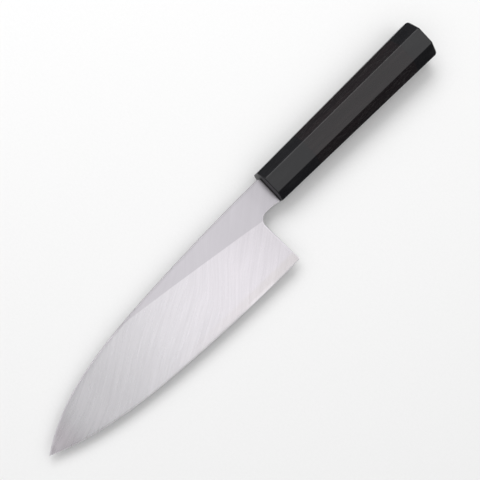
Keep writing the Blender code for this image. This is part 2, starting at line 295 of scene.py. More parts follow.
def rows_between(top, bottom, top_half, bottom_half, shares):
    """Points on straight ribs from the top line to the bottom line, at each share of the way."""
    ends = [np.concatenate([plan, half[:, None]], -1) for plan, half in
            ((top, top_half), (bottom, bottom_half))]
    return ends[0][:, None] + (ends[1] - ends[0])[:, None] * shares[:, None]


def closed_ring(left, lower_rim, upper_rim):
    """Rings round the blade: left face down, lower rim across, right face up, upper rim back."""
    return np.concatenate([left, lower_rim, left[:, ::-1] * MIRROR, upper_rim[:, ::-1]], 1)


FLAT_SHARES = np.array((0.0, 0.03, 0.12, 0.3, 0.5, 0.7, 0.88, 0.97, 1.0))
BEVEL_SHARES = np.concatenate([(0.0, 0.01), np.linspace(0.04, 0.96, 24), (0.99, 1.0)])


def blade_ribs():
    """Rings of the blade from the choil, rib 0, to the tip, and the choil's inner line.

    Each rib runs from the spine's inner line over the ridge to the edge's inner line, and the
    ribs crowd towards the tip.  Below the ridge the first rib is bent on to the choil's inner
    line, and the bend dies away in the next few ribs.  The bevel swells by a parabola over its
    width.  A rounded rim and a cutting bevel close each rib into a ring.
    """
    share = np.linspace(0.0, 1.0, BLADE_RIBS + 1)
    share = 1.0 - (1.0 - share) ** RIB_CROWDING
    start_x = RIDGE_START[0]
    x = start_x + (INNER_TIP_X - start_x) * share
    edge_x = HEEL_X + RIM_EASE + (INNER_TIP_X - HEEL_X - RIM_EASE) * share
    out_x = start_x + (TIP_X - start_x) * share
    out_edge_x = HEEL_X + (TIP_X - HEEL_X) * share
    near_tip = smooth((INNER_TIP_X - x) / POINT_RUN)

    top = np.stack([x, spine_inner(x)], -1)
    ridge = np.stack([x, ridge_line(x)], -1)
    foot = np.stack([edge_x, edge_inner(edge_x)], -1)
    half = flat_half(x)
    edge_half = np.full_like(x, EDGE_HALF)
    flat = rows_between(top, ridge, half, half, FLAT_SHARES)
    bevel = rows_between(ridge, foot, half, edge_half, BEVEL_SHARES)
    choil = choil_lines(BEVEL_SHARES)[1]
    fade = smooth(1.0 - (x - start_x) / CHOIL_BEND_RUN)[:, None, None]
    bevel[..., :2] += fade * (choil - bevel[0, :, :2])
    swell = 4.0 * BEVEL_SWELL * BEVEL_SHARES * (1.0 - BEVEL_SHARES)
    bevel[..., 2] += swell * near_tip[:, None]

    spine = np.stack([out_x, spine_line(out_x)], -1)
    edge = np.stack([out_edge_x, edge_line(out_edge_x)], -1)
    spine_half = EDGE_LAND_HALF + (rim_half(half) - EDGE_LAND_HALF) * near_tip
    land_half = np.full_like(x, EDGE_LAND_HALF)
    upper = rim(spine, top, spine_half, half, near_tip)
    lower = rim(edge, bevel[:, -1, :2], land_half, edge_half, 0.0)
    left = np.concatenate([flat, bevel[:, 1:]], 1)
    return closed_ring(left, lower, upper), bevel[0]


def choil_band(inner):
    """The choil's rim, ridge end to heel: a strip from the left face to the right one.

    It is rounded as the spine's is, and thins to the edge's land in the last few steps.
    """
    outer = choil_lines(BEVEL_SHARES)[0]
    roundness = smooth((1.0 - BEVEL_SHARES) / HEEL_SHARPENING)
    outer_half = EDGE_LAND_HALF + (rim_half(inner[:, 2]) - EDGE_LAND_HALF) * roundness
    across = rim(outer, inner[:, :2], outer_half, inner[:, 2], roundness)
    return np.concatenate([inner[:, None], across, (inner * MIRROR)[:, None]], 1)


def neck_ribs():
    """Rings of the neck from its shoulder to the ridge's end.

    The upper outline starts on a quarter ellipse, the lower one on a flare and ends on the
    choil's arc, up to the turn at which the ridge begins.
    """
    turn = np.linspace(0.0, QUARTER_TURN, CORNER_RIBS)
    corner_x, corner_y = NECK_CORNER
    head_x = NECK_END_X + corner_x * (1.0 - np.cos(turn))
    head_y = SPINE_Y + corner_y * (1.0 - np.sin(turn))
    arc_x = CHOIL_X - CHOIL_ARC[0]
    run_x = np.linspace(head_x[-1], arc_x, NECK_RIBS + 1)[1:]
    arc_turn = np.linspace(0.0, RIDGE_TURN, CHOIL_RIBS + 1)[1:]
    rest = NECK_RIBS + CHOIL_RIBS
    rest_x = np.linspace(head_x[-1], RIDGE_START[0], rest + 1)[1:]

    top_x = np.concatenate([head_x, rest_x])
    top_y = np.concatenate([head_y, spine_line(rest_x)])
    low_x = np.concatenate([head_x, run_x])
    low_y = NECK_BOTTOM_Y + NECK_FLARE * np.maximum(NECK_FLARE_X - low_x, 0.0) ** 2
    arc = np.stack([arc_x + CHOIL_ARC[0] * np.sin(arc_turn),
                    NECK_BOTTOM_Y + CHOIL_ARC[1] * (1.0 - np.cos(arc_turn))], -1)
    normal = np.stack([np.sin(arc_turn), -np.cos(arc_turn)], -1)
    spine = np.stack([top_x, top_y], -1)
    top = np.stack([top_x, top_y - spine_line(top_x) + spine_inner(top_x)], -1)
    under = np.concatenate([np.stack([low_x, low_y], -1), arc])
    foot = np.concatenate([np.stack([low_x, low_y - RIM_EASE], -1), arc + RIM_EASE * normal])
    from_end = np.clip(1.0 - (top_x - NECK_END_X) / NECK_END_EASE, 0.0, 1.0)
    roll = NECK_END_EASE * (1.0 - np.sqrt(1.0 - from_end ** 2))
    top_half = flat_half(top_x) - roll
    foot_half = flat_half(foot[:, 0]) - roll
    left = rows_between(top, foot, top_half, foot_half, FLAT_SHARES)
    lower = rim(under, foot, rim_half(foot_half), foot_half, 1.0)
    upper = rim(spine, top, rim_half(top_half), top_half, 1.0)
    return closed_ring(left, lower, upper)


def tang_ribs():
    """Rings of the hidden tang: an eased bar that tapers evenly to its nipped end."""
    nip_x = TANG_END_X + TANG_NIP
    x = np.concatenate([(TANG_END_X, TANG_END_X), np.linspace(nip_x, NECK_END_X, TANG_RIBS)])
    share = x / TANG_END_X
    height = TANG_HALF_HEIGHT[0] + share * (TANG_HALF_HEIGHT[1] - TANG_HALF_HEIGHT[0])
    half = TANG_HALF_THICKNESS[0] + share * (TANG_HALF_THICKNESS[1] - TANG_HALF_THICKNESS[0])
    height[:2] -= TANG_NIP
    ease = np.full_like(x, TANG_EASE)
    height[0] = ease[0] = half[0] = 0.0
    lines = [np.stack([x, y], -1) for y in (-height, ease - height, height - ease, height)]
    outer_half = half - ease
    left = rows_between(lines[1], lines[2], half, half, FLAT_SHARES)
    lower = rim(lines[3], lines[2], outer_half, half, 1.0)
    upper = rim(lines[0], lines[1], outer_half, half, 1.0)
    return closed_ring(left, lower, upper)


# Meshes

def ring_quads(count, around, first=0, closed_path=False):
    """Quads between successive rings: point j joins j + 1, the last joins the first."""
    index = first + np.arange(count * around).reshape(count, around)
    rows = np.append(index, index[:1], 0) if closed_path else index
    low, high = rows[:-1], rows[1:]
    quads = np.stack([low, np.roll(low, -1, 1), np.roll(high, -1, 1), high], -1)
    return quads.reshape(-1, 4)


def strip_quads(count, across, first=0):
    """Quads of an open strip of rows."""
    index = first + np.arange(count * across).reshape(count, across)
    quads = np.stack([index[:-1, :-1], index[:-1, 1:], index[1:, 1:], index[1:, :-1]], -1)
    return quads.reshape(-1, 4)


def add_piece(name, points, quads, material, node, values=None):
    """A closed, smooth-shaded mesh in the world from points in the knife's frame.

    Doubled points are merged, which closes poles and joins patches; then the faces are turned
    outwards.  values holds one number or vector for each point, for the materials to read.
    """
    world = np.array(KNIFE_TO_WORLD)
    placed = points @ world[:3, :3].T + world[:3, 3]
    mesh = bpy.data.meshes.new(name)
    mesh.from_pydata(placed.tolist(), [], quads.tolist())
    for key, array in (values or {}).items():
        kind, field = ("FLOAT", "value") if array.ndim == 1 else ("FLOAT_VECTOR", "vector")
        layer = mesh.attributes.new(key, kind, "POINT")
        layer.data.foreach_set(field, array.astype(np.float32).ravel())
    bm = bmesh.new()
    bm.from_mesh(mesh)
    bmesh.ops.remove_doubles(bm, verts=bm.verts, dist=MERGE)
    bmesh.ops.recalc_face_normals(bm, faces=bm.faces)
    bm.to_mesh(mesh)
    bm.free()
    mesh.shade_smooth()
    mesh.set_sharp_from_angle(angle=SHARP_TURN)
    mesh.materials.append(material)
    piece = bpy.data.objects.new(name, mesh)
    bpy.context.scene.collection.objects.link(piece)
    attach(piece, "root")
    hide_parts(node)


def grind_coordinates(points):
    """Coordinates that run with the grinding marks: along them, across them, and a side mark.

    The marks lean from the blade's axis towards the edge, steeply at the heel and less near the
    tip.  Their path is the integral of the lean's tangent over x.
    """
    x, y, z = points.T
    table_x = np.linspace(TANG_END_X, TIP_X, LEAN_STEPS)
    lessening = sum(drop * smooth((table_x - start) / run) for start, run, drop in MARK_LEAN_DROPS)
    lean = np.radians(MARK_LEAN - lessening)
    climb = np.concatenate([[0.0], np.cumsum(np.tan(lean[:-1]) * np.diff(table_x))])
    lean_here = np.interp(x, table_x, lean)
    across = (y - np.interp(x, table_x, climb)) * np.cos(lean_here)
    along = x / np.cos(lean_here)
    return np.stack([along, across, np.sign(z) * SIDE_MARK], -1)


def make_blade(steel):
    """Blade, neck and tang in one closed surface: three runs of rings and the choil's strip."""
    tang = tang_ribs()
    neck = neck_ribs()
    blade, choil_inner = blade_ribs()
    choil = choil_band(choil_inner)
    handle_side = np.concatenate([tang, neck])
    parts = [handle_side, blade, choil]
    points = np.concatenate([part.reshape(-1, 3) for part in parts])
    second = handle_side.shape[0] * handle_side.shape[1]
    third = second + blade.shape[0] * blade.shape[1]
    quads = np.concatenate([
        ring_quads(*handle_side.shape[:2]),
        ring_quads(*blade.shape[:2], first=second),
        strip_quads(*choil.shape[:2], first=third),
    ])
    edge_masks, spine_masks = [], []
    for part in (handle_side, blade):
        face_rows = (part.shape[1] - 4 * RIM_STEPS) // 2
        counts = [face_rows, 2 * RIM_STEPS] * 2
        edge_masks.append(np.tile(np.repeat([0.0, 1.0, 0.0, 0.0], counts), part.shape[0]))
        spine_masks.append(np.tile(np.repeat([0.0, 0.0, 0.0, 1.0], counts), part.shape[0]))
    across = np.pad(np.ones(2 * RIM_STEPS), 1)
    edge_masks.append(np.tile(across, choil.shape[0]))
    spine_masks.append(np.zeros(choil.shape[0] * choil.shape[1]))
    x, y = points[:, 0], points[:, 1]
    values = {
        "below_ridge": y - ridge_line(np.maximum(x, RIDGE_START[0])),
        "below_spine": y - spine_line(x),
        "above_edge": edge_line(x) - y,
        "on_rim": np.concatenate(edge_masks),
        "on_spine": np.concatenate(spine_masks),
        "grind": grind_coordinates(points),
    }
    add_piece("gyuto_blade", points, quads, steel, "blade", values)


# Handle sections

def between(pair, x):
    """A handle size at x, which grows evenly from the ferrule's face to the butt."""
    return pair[0] - x / HANDLE_LENGTH * (pair[1] - pair[0])


def octagon_quarter(x, inset=0.0):
    """A quarter of the handle's section, from the edge-side facet round to the upper facet.

    The octagon is drawn in by the arris radius and the inset; each of its corners then carries an
    arc of the radius between the normals of its two facets, and a point on each facet beside it.
    """
    height, thick, flat = between(HALF_HEIGHT, x), between(HALF_THICKNESS, x), between(FLAT_HALF, x)
    side = thick * flat / height
    facet_turn = math.atan2(height - flat, thick - side)
    facet = np.array((math.cos(facet_turn), math.sin(facet_turn)))
    depth = ARRIS_RADIUS + inset
    reach = facet @ (height, side) - depth
    low = np.array((height - depth, (reach - facet[0] * (height - depth)) / facet[1]))
    high = np.array(((reach - facet[1] * (thick - depth)) / facet[0], thick - depth))
    along = np.array((-facet[1], facet[0]))
    beside = 2.0 * ARRIS_RADIUS

    def arc(corner, start, end):
        turn = np.linspace(start, end, ARC_STEPS + 1)
        return corner + ARRIS_RADIUS * np.stack([np.cos(turn), np.sin(turn)], -1)

    lower, upper = arc(low, 0.0, facet_turn), arc(high, facet_turn, QUARTER_TURN)
    return np.concatenate([
        [lower[0] - (0.0, beside)], lower, [lower[-1] + along * beside],
        [upper[0] - along * beside], upper, [upper[-1] - (beside, 0.0)],
    ])


QUARTER_COUNT = 2 * (ARC_STEPS + 1) + 4


def round_quarter(radius):
    """A quarter circle, with points at the middles of even steps."""
    turn = QUARTER_TURN * (np.arange(QUARTER_COUNT) + 0.5) / QUARTER_COUNT
    return radius * np.stack([np.cos(turn), np.sin(turn)], -1)


def slot_quarter(half_height, half_thickness, radius):
    """A quarter of a rectangle whose corner is an arc."""
    turn = np.linspace(0.0, QUARTER_TURN, QUARTER_COUNT)
    corner = np.array((half_height, half_thickness)) - radius
    return corner + radius * np.stack([np.cos(turn), np.sin(turn)], -1)


def ring(x, quarter):
    """The whole ring at x: the quarter mirrored in y, in both, and in z."""
    whole = np.concatenate([quarter, quarter[::-1] * (-1, 1), -quarter, quarter[::-1] * (1, -1)])
    return np.concatenate([np.full((len(whole), 1), x), whole], 1)


def eased_face(x, ease, inward):
    """Rings that round an end: the inset follows 1 - sine, the setback 1 - cosine of a turn."""
    turns = np.linspace(0.0, QUARTER_TURN, EASE_STEPS + 1)
    places = x + inward * ease * (1.0 - np.cos(turns))
    insets = ease * (1.0 - np.sin(turns))
    return [ring(at, octagon_quarter(at, inset)) for at, inset in zip(places, insets)]


def flank(front_x, rear_x):
    """Rings along the straight facets, one every few millimetres, ends close to the seams."""
    steps = max(int((front_x - rear_x) / HANDLE_PITCH), 2)
    return [ring(x, octagon_quarter(x)) for x in np.linspace(front_x, rear_x, steps)]


def skin(name, rings, material, node, closed_path=False):
    """A piece from its rings, each joined to the next, and the last to the first where it closes."""
    rings = np.array(rings)
    quads = ring_quads(*rings.shape[:2], closed_path=closed_path)
    add_piece(name, rings.reshape(-1, 3), quads, material, node)


def make_ferrule(horn):
    """Front face, eased rim, eight facets, rear face, dowel hole and slot, as one closed tube."""
    rear_x = SEAM_FRONT_X + SEAM
    hole = round_quarter(TANG_DOWEL_RADIUS + ROOM)
    slot = slot_quarter(*SLOT_HALF, SLOT_CORNER)
    mouth = slot_quarter(*(half + MOUTH_EASE for half in (*SLOT_HALF, SLOT_CORNER)))
    rim_rings = eased_face(0.0, FRONT_EASE, -1.0)
    rings = [ring(0.0, mouth)] + rim_rings
    rings += flank(-FRONT_EASE - EASE_TO_FLANK, rear_x)
    rings += [ring(rear_x, hole), ring(-FERRULE_WALL, hole), ring(-FERRULE_WALL, slot)]
    rings += [ring(-MOUTH_EASE, slot)]
    skin("horn_ferrule", rings, horn, "ferrule", closed_path=True)


def make_body(ebony):
    """The ebony body: two blind dowel holes joined by its end faces and eight facets."""
    front_x = SEAM_FRONT_X - SEAM
    rear_x = SEAM_REAR_X + SEAM
    front_hole = round_quarter(TANG_DOWEL_RADIUS + ROOM)
    rear_hole = round_quarter(CAP_DOWEL_RADIUS + ROOM)
    front_bottom = TANG_DOWEL_END_X - ROOM
    rear_bottom = SEAM_REAR_X + CAP_DOWEL_DEPTH + ROOM
    rings = [ring(front_bottom, 0.0 * front_hole), ring(front_bottom, front_hole)]
    rings += [ring(front_x, front_hole)]
    rings += flank(front_x, rear_x)
    rings += [ring(rear_x, rear_hole)]
    rings += [ring(rear_bottom, rear_hole), ring(rear_bottom, 0.0 * rear_hole)]
    skin("ebony_body", rings, ebony, "handle_body")


def draw_back_corners(rings):
    """Rounds the butt in plan: near its two sides x is set back along an arc in y.

    The setback is the arc's radius times 1 - cosine, and fades out along the facets.
    """
    points = np.array(rings)
    out = np.clip(1.0 - (HALF_HEIGHT[1] - np.abs(points[..., 1])) / BUTT_CORNER, 0.0, 1.0)
    setback = BUTT_CORNER * (1.0 - np.sqrt(1.0 - out ** 2))
    points[..., 0] += setback * smooth(1.0 - (points[..., 0] + HANDLE_LENGTH) / BUTT_CORNER_RUN)
    return points


def make_cap(horn):
    """The end cap: a blind dowel hole, the seam face, eight facets and the eased butt."""
    front_x = SEAM_REAR_X - SEAM
    hole = round_quarter(CAP_DOWEL_RADIUS + ROOM)
    bottom = SEAM_REAR_X - CAP_DOWEL_DEPTH - ROOM
    rings = [ring(bottom, 0.0 * hole), ring(bottom, hole), ring(front_x, hole)]
    rings += flank(front_x, BUTT_EASE + EASE_TO_FLANK - HANDLE_LENGTH)
    rings += eased_face(-HANDLE_LENGTH, BUTT_EASE, 1.0)[::-1]
    butt = octagon_quarter(-HANDLE_LENGTH, BUTT_EASE)
    rings += [ring(-HANDLE_LENGTH, share * butt) for share in BUTT_SHARES]
    skin("horn_end_cap", draw_back_corners(rings), horn, "end_cap")


def make_seal(sealant):
    """The bead of sealant round the tang: a ring whose front swells between slot and steel.

    From the slot in to the tang, x follows the sine of a quarter turn.
    """
    outer = np.array((*SLOT_HALF, SEAL_CORNER[0]))
    tang = (TANG_HALF_HEIGHT[0] + TANG_CLEARANCE, TANG_HALF_THICKNESS[0] + TANG_CLEARANCE)
    inner = np.array((*tang, SEAL_CORNER[1]))
    rings = []
    for share in np.linspace(0.0, 1.0, SEAL_STEPS + 1):
        x = (SEAL_PROUD + SEAL_SUNK) * math.sin(QUARTER_TURN * share) - SEAL_SUNK
        rings.append(ring(x, slot_quarter(*(outer + share * (inner - outer)))))
    rings += [ring(-SEAL_DEPTH, slot_quarter(*size)) for size in (inner, outer)]
    skin("seal_bead", rings, sealant, "mouth_seal", closed_path=True)


# Node helpers

def put(tree, kind, values=None, **settings):
    """A node with its settings, and its inputs set or wired by number or name."""
    made = tree.nodes.new(kind)
    for key, value in settings.items():
        setattr(made, key, value)
    for key, value in (values or {}).items():
        if isinstance(value, bpy.types.NodeSocket):
            tree.links.new(value, made.inputs[key])
        else:
            made.inputs[key].default_value = value
    return made


def reckon(tree, operation, a, b=0.0, c=0.0):
    """The result of one step of arithmetic on numbers or sockets."""
    return put(tree, "ShaderNodeMath", {0: a, 1: b, 2: c}, operation=operation).outputs[0]


def ramp(tree, value, low, high, to_low=0.0, to_high=1.0):
    """A level-ended ramp of a value between two limits."""
    values = {"Value": value, "From Min": low, "From Max": high, "To Min": to_low, "To Max": to_high}
    return put(tree, "ShaderNodeMapRange", values, interpolation_type="SMOOTHSTEP").outputs[0]


def blend(tree, share, a, b):
    """Colour a where the share is 0, colour b where it is 1."""
    return put(tree, "ShaderNodeMix", {0: share, 6: a, 7: b}, data_type="RGBA").outputs[2]


def blend_value(tree, share, a, b):
    """Number a where the share is 0, number b where it is 1."""
    return put(tree, "ShaderNodeMix", {0: share, 2: a, 3: b}, data_type="FLOAT").outputs[0]


def attribute(tree, name, output="Fac"):
    """A value that the points of a piece carry."""
    return put(tree, "ShaderNodeAttribute", attribute_name=name).outputs[output]


def object_place(tree):
    """The place on the knife, in metres."""
    return put(tree, "ShaderNodeTexCoord").outputs["Object"]


def east_of(tree, place):
    """How far a place lies towards the tip from the middle of the handle's body."""
    return put(tree, "ShaderNodeSeparateXYZ", {0: place}).outputs[0]


def new_group(name, inputs, outputs):
    """An empty node group with its sockets, and its input and output nodes."""
    group = bpy.data.node_groups.new(name, "ShaderNodeTree")
    for label, kind, default in inputs:
        made = group.interface.new_socket(name=label, in_out="INPUT", socket_type=kind)
        if default is not None:
            made.default_value = default
    for label, kind in outputs:
        group.interface.new_socket(name=label, in_out="OUTPUT", socket_type=kind)
    return group, group.nodes.new("NodeGroupInput"), group.nodes.new("NodeGroupOutput")


def long_marks_group():
    """Marks drawn out along x: noise on a place divided by the marks' length and width."""
    group, given, result = new_group(
        "long_marks",
        [("Place", "NodeSocketVector", None), ("Length", "NodeSocketFloat", 0.02),
         ("Width", "NodeSocketFloat", 0.0005), ("Detail", "NodeSocketFloat", 2.0),
         ("Shift", "NodeSocketFloat", 0.0)],
        [("Marks", "NodeSocketFloat")])
    per_length = reckon(group, "DIVIDE", 1.0, given.outputs["Length"])
    per_width = reckon(group, "DIVIDE", 1.0, given.outputs["Width"])
    density = put(group, "ShaderNodeCombineXYZ", {0: per_length, 1: per_width, 2: per_width}).outputs[0]
    scaled = put(group, "ShaderNodeVectorMath", {0: given.outputs["Place"], 1: density},
                 operation="MULTIPLY").outputs[0]
    shift = put(group, "ShaderNodeCombineXYZ", {0: given.outputs["Shift"], 1: 0.0, 2: 0.0}).outputs[0]
    moved = put(group, "ShaderNodeVectorMath", {0: scaled, 1: shift}, operation="ADD").outputs[0]
    noise = put(group, "ShaderNodeTexNoise",
                {"Vector": moved, "Scale": 1.0, "Detail": given.outputs["Detail"], "Roughness": 0.55})
    group.links.new(noise.outputs[0], result.inputs["Marks"])
    return group


def drift_group():
    """A slow change of tone over the surface, centred on nought."""
    group, given, result = new_group(
        "slow_drift",
        [("Place", "NodeSocketVector", None), ("Size", "NodeSocketFloat", 0.03)],
        [("Drift", "NodeSocketFloat")])
    scale = reckon(group, "DIVIDE", 1.0, given.outputs["Size"])
    noise = put(group, "ShaderNodeTexNoise",
                {"Vector": given.outputs["Place"], "Scale": scale, "Detail": 1.0, "Roughness": 0.5})
    centred = reckon(group, "SUBTRACT", noise.outputs[0], 0.5)
    group.links.new(centred, result.inputs["Drift"])
    return group


LONG_MARKS = long_marks_group()
SLOW_DRIFT = drift_group()


def marks(tree, place, length, width, detail=2.0, shift=0.0):
    """Marks of a length and a width, moved along their own length by the shift."""
    values = {"Place": place, "Length": length, "Width": width, "Detail": detail, "Shift": shift}
    return put(tree, "ShaderNodeGroup", values, node_tree=LONG_MARKS).outputs[0]


def drift(tree, place, size):
    """A slow change of tone of a size, centred on nought."""
    return put(tree, "ShaderNodeGroup", {"Place": place, "Size": size}, node_tree=SLOW_DRIFT).outputs[0]


def new_material(name):
    """A material, its node tree and its shader."""
    material = bpy.data.materials.new(name)
    material.use_nodes = True
    tree = material.node_tree
    return material, tree, tree.nodes["Principled BSDF"]


def set_shader(tree, shader, colour, roughness, height=None, relief=0.0, metallic=0.0):
    """Wires colour and roughness, and a height through a bump of the given relief in metres."""
    for key, value in (("Base Color", colour), ("Roughness", roughness)):
        if isinstance(value, bpy.types.NodeSocket):
            tree.links.new(value, shader.inputs[key])
        else:
            shader.inputs[key].default_value = value
    shader.inputs["Metallic"].default_value = metallic
    if height is not None:
        bump = put(tree, "ShaderNodeBump", {"Strength": 1.0, "Distance": relief, "Height": height})
        tree.links.new(bump.outputs[0], shader.inputs["Normal"])


# Steel

BEVEL_AT_HEEL = (0.702, 0.672, 0.710, 1.0)
BEVEL_AT_BELLY = (0.680, 0.667, 0.691, 1.0)
BEVEL_AT_POINT = (0.685, 0.648, 0.683, 1.0)
FLAT_NEAR_NECK = (0.541, 0.521, 0.553, 1.0)
FLAT_AT_END = (0.572, 0.549, 0.581, 1.0)
CORE_STEEL = (0.672, 0.640, 0.656, 1.0)
RIM_STEEL = (0.74, 0.72, 0.745, 1.0)
SPINE_NEAR_NECK = (0.320, 0.308, 0.324, 1.0)
SPINE_AT_POINT = (0.510, 0.495, 0.515, 1.0)

# How much the broad marks count beside the fine ones, how strong the marks and the clouds are, and
# what share of the marks the flat shows
BROAD_SHARE = 0.45
MARK_STRENGTH = 0.30
CLOUD_STRENGTH = 0.05
MARKS_ON_FLAT = 0.4

FLAT_ROUGHNESS = 0.31
BEVEL_ROUGHNESS = 0.24
HAIR_ROUGHNESS = 0.10
RIM_POLISH = 0.10
MARK_RELIEF = 0.00002

# Where colours turn along the blade: start and end
BEVEL_TO_BELLY = (0.10, 0.22)
BEVEL_TO_POINT = (0.245, 0.258)
FLAT_TO_END = (0.150, 0.180)
SPINE_TO_POINT = (0.18, 0.265)

# Ramps along the blade, or up from the edge: start, end, the value before and the value past
CORE_ALONG = (0.10, 0.20, 1.0, 0.0)
CORE_ABOVE_EDGE = (0.0045, 0.0070, 1.0, 0.0)
RIDGE_SHADE = (0.170, 0.220, 0.97, 1.0)
RIDGE_SOFTNESS = (0.090, 0.135, -0.0005, -0.00005)
# The band beside the spine is painted shade: its width and its gain along the blade
BAND_WIDTH = (0.180, 0.240, 0.0014, 0.0040)
BAND_SHADE = (0.232, 0.258, 0.90, 0.98)

# How far tones reach from the ridge, the spine and the edge: in full, and till they die away
RIDGE_REACH = (0.0, 0.016)
SPINE_REACH = (0.0007, 0.0014)
EDGE_REACH = (0.0007, 0.0022)
BAND_STARTS = 0.0006
RIDGE_CLEARED = 0.00010

# Painted light and shade along the blade, as gains on the steel's colour: all over it, on the flat,
# beside the spine and beside the edge.  They paint shade beside the ferrule and beside the spine
# towards the heel, and glints and dimmer stretches along the edge, on the flat and towards the
# point.  Each change has its start, its end, and the gain before it and past it.
PAINTED_LIGHT_ALONG_BLADE = (
    (0.060, 0.130, 0.82, 1.00), (0.110, 0.150, 1.00, 1.05), (0.175, 0.195, 1.00, 0.95),
    (0.215, 0.235, 1.00, 1.06), (0.243, 0.252, 1.00, 0.95), (0.256, 0.267, 1.00, 1.17),
)
PAINTED_LIGHT_ON_FLAT = ((0.084, 0.090, 1.00, 1.035), (0.094, 0.112, 1.00, 0.966))
PAINTED_LIGHT_BY_SPINE = ((0.190, 0.200, 0.86, 1.00), (0.238, 0.258, 1.00, 1.22))
PAINTED_LIGHT_BY_EDGE = (
    (0.106, 0.116, 1.00, 1.13), (0.124, 0.142, 1.00, 0.78), (0.180, 0.200, 1.00, 1.09),
    (0.215, 0.226, 1.00, 0.94), (0.238, 0.248, 1.00, 1.09), (0.256, 0.264, 1.00, 1.05),
)


def changes(tree, along, steps):
    """The product of the steps' ramps at a place along the blade."""
    gain = 1.0
    for step in steps:
        gain = reckon(tree, "MULTIPLY", gain, ramp(tree, along, *step))
    return gain


def fading(tree, distance, near, far, gain):
    """The gain up to the near distance from a line, which dies away evenly to 1 at the far one."""
    values = {"Value": distance, "From Min": near, "From Max": far, "To Min": gain, "To Max": 1.0}
    return put(tree, "ShaderNodeMapRange", values).outputs[0]


def satin_steel():
    """Ground steel: slanting marks on the bevel, a finer, darker flat, polished rims.

    The colours blend from heel to point, with a faintly warmer core beside the edge.  The tone
    takes its grain from the marks and its slow rise and fall from painted light and shade: painted
    shade beside the ferrule and close along the spine, painted glints along the edge and towards the
    point, the bevel's painted shade beside the ridge and the painted shade of the darker band
    beside the spine.
    """
    material, tree, shader = new_material("satin_steel")
    grind = attribute(tree, "grind", "Vector")
    below_ridge = attribute(tree, "below_ridge")
    below_spine = attribute(tree, "below_spine")
    above_edge = attribute(tree, "above_edge")
    on_rim = attribute(tree, "on_rim")
    on_spine = attribute(tree, "on_spine")
    place = object_place(tree)
    east = east_of(tree, place)
    on_bevel = ramp(tree, below_ridge, ramp(tree, east, *RIDGE_SOFTNESS), RIDGE_CLEARED)

    broad = marks(tree, grind, length=0.040, width=0.0018)
    fine = marks(tree, grind, length=0.018, width=0.0007, shift=7.3)
    hair = marks(tree, grind, length=0.010, width=0.00022, detail=1.0, shift=3.1)
    grain = reckon(tree, "SUBTRACT", blend_value(tree, BROAD_SHARE, fine, broad), 0.5)
    grain = reckon(tree, "MULTIPLY", grain, blend_value(tree, on_bevel, MARKS_ON_FLAT, 1.0))
    tone = reckon(tree, "MULTIPLY_ADD", grain, MARK_STRENGTH, 1.0)
    tone = reckon(tree, "MULTIPLY_ADD", drift(tree, place, size=0.035), CLOUD_STRENGTH, tone)

    bevel = blend(tree, ramp(tree, east, *BEVEL_TO_BELLY), BEVEL_AT_HEEL, BEVEL_AT_BELLY)
    bevel = blend(tree, ramp(tree, east, *BEVEL_TO_POINT), bevel, BEVEL_AT_POINT)
    flat = blend(tree, ramp(tree, east, *FLAT_TO_END), FLAT_NEAR_NECK, FLAT_AT_END)
    steel = blend(tree, on_bevel, flat, bevel)
    core = reckon(tree, "MULTIPLY", ramp(tree, above_edge, *CORE_ABOVE_EDGE), on_bevel)
    core = reckon(tree, "MULTIPLY", ramp(tree, east, *CORE_ALONG), core)
    steel = blend(tree, core, steel, CORE_STEEL)
    steel = blend(tree, on_rim, steel, RIM_STEEL)
    spine = blend(tree, ramp(tree, east, *SPINE_TO_POINT), SPINE_NEAR_NECK, SPINE_AT_POINT)
    steel = blend(tree, on_spine, steel, spine)

    # Painted shade on the bevel beside the ridge, and painted shade in the band along the spine
    ridge_shade = fading(tree, below_ridge, *RIDGE_REACH, ramp(tree, east, *RIDGE_SHADE))
    band_width = ramp(tree, east, *BAND_WIDTH)
    band_shade = ramp(tree, east, *BAND_SHADE)
    band = fading(tree, below_spine, BAND_STARTS, band_width, band_shade)
    # Gains that paint light and shade on the steel: shade beside the ferrule, the ridge and the spine,
    # glints along the edge and towards the point
    painted_light_gains = (
        changes(tree, east, PAINTED_LIGHT_ALONG_BLADE),
        blend_value(tree, on_bevel, changes(tree, east, PAINTED_LIGHT_ON_FLAT), ridge_shade),
        fading(tree, below_spine, *SPINE_REACH, changes(tree, east, PAINTED_LIGHT_BY_SPINE)),
        fading(tree, above_edge, *EDGE_REACH, changes(tree, east, PAINTED_LIGHT_BY_EDGE)),
        blend_value(tree, on_bevel, 1.0, band),
    )
    for gain in painted_light_gains:
        tone = reckon(tree, "MULTIPLY", tone, gain)
    colour = put(tree, "ShaderNodeVectorMath", {0: steel, "Scale": tone}, operation="SCALE").outputs[0]

    rough = blend_value(tree, on_bevel, FLAT_ROUGHNESS, BEVEL_ROUGHNESS)
    rough = reckon(tree, "MULTIPLY_ADD", hair, HAIR_ROUGHNESS, rough)
    rough = reckon(tree, "MULTIPLY_ADD", on_rim, -RIM_POLISH, rough)
    height = reckon(tree, "MULTIPLY", reckon(tree, "ADD", hair, fine), 0.5)
    set_shader(tree, shader, colour, rough, height, relief=MARK_RELIEF, metallic=1.0)
    return material


# Handle finishes

